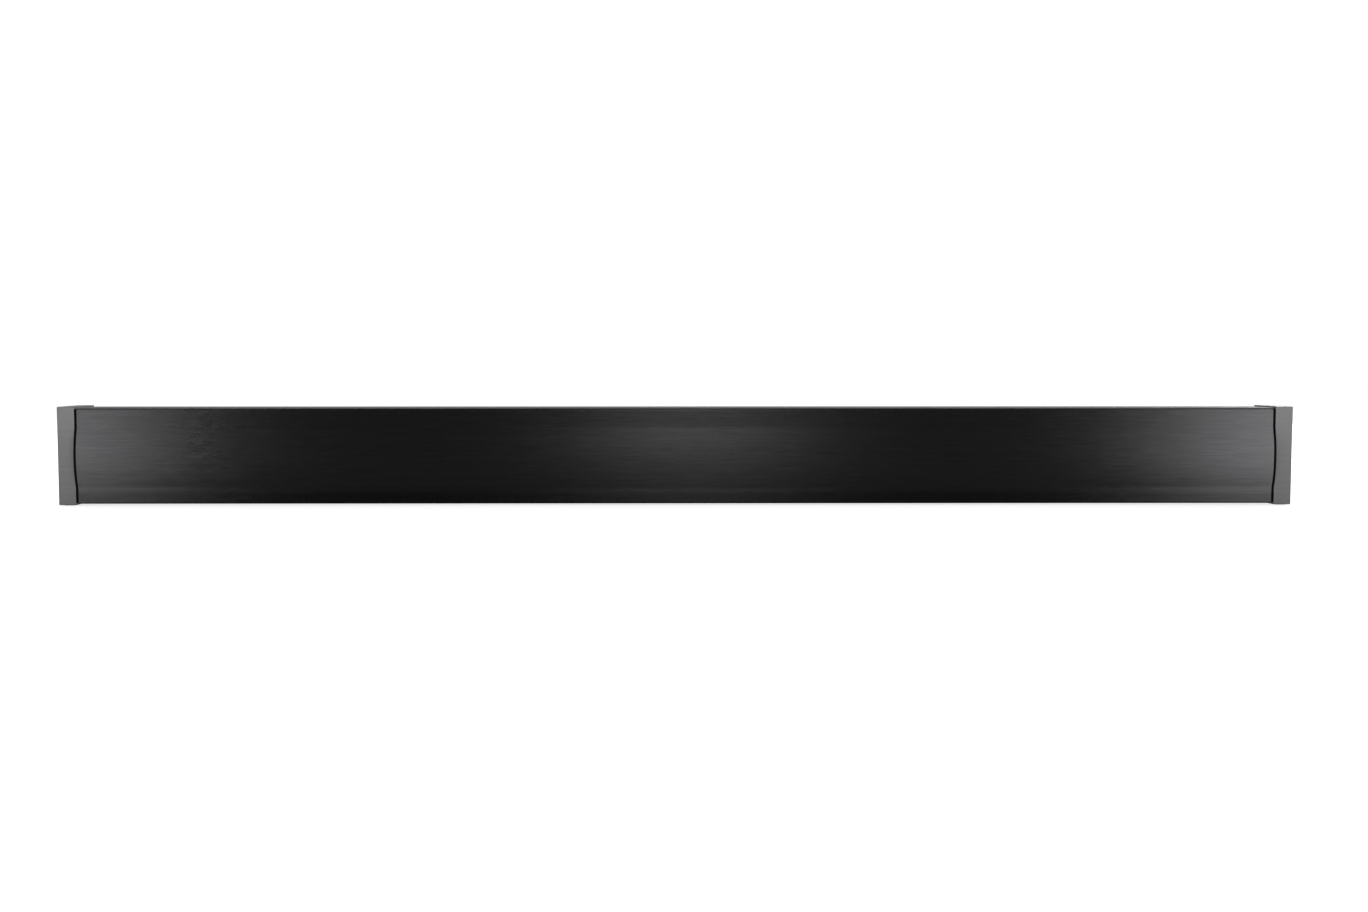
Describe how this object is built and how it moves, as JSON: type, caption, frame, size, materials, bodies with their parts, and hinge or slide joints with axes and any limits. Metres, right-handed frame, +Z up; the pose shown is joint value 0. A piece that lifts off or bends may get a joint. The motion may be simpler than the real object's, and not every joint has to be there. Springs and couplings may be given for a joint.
{
  "type": "soundbar",
  "caption": "Long low loudspeaker bar with a bulged perforated metal front, flat grey end caps, side buttons and a rear connector bay.",
  "frame": {"origin": "on the ground under the middle of the bar", "axes": "+X along the bar, towards the end with the buttons; the front faces -Y; +Z up"},
  "size_m": [0.94, 0.0741, 0.0755],
  "materials": {
    "grille_metal": "brushed and painted satin black, perforated",
    "grille_cloth": "plain woven acoustic cloth",
    "cap_plastic": "satin mid grey, faint horizontal grain",
    "black_plastic": "fine matte texture",
    "black_gloss_plastic": "smooth moulded",
    "button_plastic": "satin",
    "rubber": "matte",
    "cone_paper": "pressed paper, faintly fibrous",
    "spider_cloth": "resin-treated woven cloth",
    "basket_steel": "black powder coat",
    "motor_steel": "zinc plated",
    "dome_cloth": "coated cloth",
    "circuit_board": "solder mask",
    "heat_sink_aluminium": "extruded, bare",
    "transformer_ferrite": "sintered ferrite with taped winding",
    "capacitor_sleeve": "printed shrink sleeve, no print",
    "terminal_steel": "black powder coat",
    "plated_steel": "zinc plated",
    "screw_steel": "black oxide",
    "jack_nickel": "nickel plated",
    "jack_plastic": "moulded",
    "wire_jacket": "vinyl wire jackets"
  },
  "bodies": {
    "chassis": {"ac_inlet": "jack_plastic", "aux_jack": "jack_nickel", "baffle_screws": "screw_steel", "bass_port_left": "black_gloss_plastic", "bass_port_right": "black_gloss_plastic", "board_screws": "screw_steel", "driver_screws": "screw_steel", "end_cap_left": "cap_plastic", "end_cap_right": "cap_plastic", "end_cap_screws": "screw_steel", "end_plate_left": "black_gloss_plastic", "end_plate_right": "black_gloss_plastic", "filter_capacitors": "capacitor_sleeve", "front_baffle": "black_plastic", "front_grille": "grille_metal", "grille_scrim": "grille_cloth", "hdmi_jack": "jack_nickel", "heat_sink": "heat_sink_aluminium", "indicator_board": "circuit_board", "key_board": "circuit_board", "keyhole_plates": "plated_steel", "main_board": "circuit_board", "optical_jack": "jack_plastic", "power_board": "circuit_board", "power_transformer": "transformer_ferrite", "rear_cabinet": "black_plastic", "rear_screws": "screw_steel", "rubber_feet": "rubber", "speaker_wires": "wire_jacket", "terminal_plate": "terminal_steel", "tweeter_left_faceplate": "black_gloss_plastic", "tweeter_left_motor": "motor_steel", "tweeter_right_faceplate": "black_gloss_plastic", "tweeter_right_motor": "motor_steel", "woofer_1_basket": "basket_steel", "woofer_1_motor": "motor_steel", "woofer_1_spider": "spider_cloth", "woofer_1_surround": "rubber", "woofer_2_basket": "basket_steel", "woofer_2_motor": "motor_steel", "woofer_2_spider": "spider_cloth", "woofer_2_surround": "rubber", "woofer_3_basket": "basket_steel", "woofer_3_motor": "motor_steel", "woofer_3_spider": "spider_cloth", "woofer_3_surround": "rubber", "woofer_4_basket": "basket_steel", "woofer_4_motor": "motor_steel", "woofer_4_spider": "spider_cloth", "woofer_4_surround": "rubber"},
    "woofer_1_moving": {"woofer_1_cone": "cone_paper"},
    "woofer_2_moving": {"woofer_2_cone": "cone_paper"},
    "woofer_3_moving": {"woofer_3_cone": "cone_paper"},
    "woofer_4_moving": {"woofer_4_cone": "cone_paper"},
    "tweeter_left_moving": {"tweeter_left_dome": "dome_cloth"},
    "tweeter_right_moving": {"tweeter_right_dome": "dome_cloth"},
    "volume_up_button": {"volume_up_button": "button_plastic"},
    "volume_down_button": {"volume_down_button": "button_plastic"},
    "source_button": {"source_button": "button_plastic"},
    "power_button": {"power_button": "button_plastic"}
  },
  "joints": [
    {"name": "woofer_1_stroke", "type": "slide", "parent": "chassis", "child": "woofer_1_moving", "axis": [0, -1, 0], "range_m": [-0.0025, 0.0025], "stiffness_N_per_m": 1400, "deforming": ["woofer_1_surround", "woofer_1_spider"]},
    {"name": "woofer_2_stroke", "type": "slide", "parent": "chassis", "child": "woofer_2_moving", "axis": [0, -1, 0], "range_m": [-0.0025, 0.0025], "stiffness_N_per_m": 1400, "deforming": ["woofer_2_surround", "woofer_2_spider"]},
    {"name": "woofer_3_stroke", "type": "slide", "parent": "chassis", "child": "woofer_3_moving", "axis": [0, -1, 0], "range_m": [-0.0025, 0.0025], "stiffness_N_per_m": 1400, "deforming": ["woofer_3_surround", "woofer_3_spider"]},
    {"name": "woofer_4_stroke", "type": "slide", "parent": "chassis", "child": "woofer_4_moving", "axis": [0, -1, 0], "range_m": [-0.0025, 0.0025], "stiffness_N_per_m": 1400, "deforming": ["woofer_4_surround", "woofer_4_spider"]},
    {"name": "tweeter_left_stroke", "type": "slide", "parent": "chassis", "child": "tweeter_left_moving", "axis": [0, -1, 0], "range_m": [-0.0003, 0.0003], "stiffness_N_per_m": 1200},
    {"name": "tweeter_right_stroke", "type": "slide", "parent": "chassis", "child": "tweeter_right_moving", "axis": [0, -1, 0], "range_m": [-0.0003, 0.0003], "stiffness_N_per_m": 1200},
    {"name": "volume_up_press", "type": "slide", "parent": "chassis", "child": "volume_up_button", "axis": [-1, 0, 0], "range_m": [0, 0.0005], "stiffness_N_per_m": 700},
    {"name": "volume_down_press", "type": "slide", "parent": "chassis", "child": "volume_down_button", "axis": [-1, 0, 0], "range_m": [0, 0.0005], "stiffness_N_per_m": 700},
    {"name": "source_press", "type": "slide", "parent": "chassis", "child": "source_button", "axis": [-1, 0, 0], "range_m": [0, 0.0005], "stiffness_N_per_m": 700},
    {"name": "power_press", "type": "slide", "parent": "chassis", "child": "power_button", "axis": [-1, 0, 0], "range_m": [0, 0.0005], "stiffness_N_per_m": 700}
  ]
}
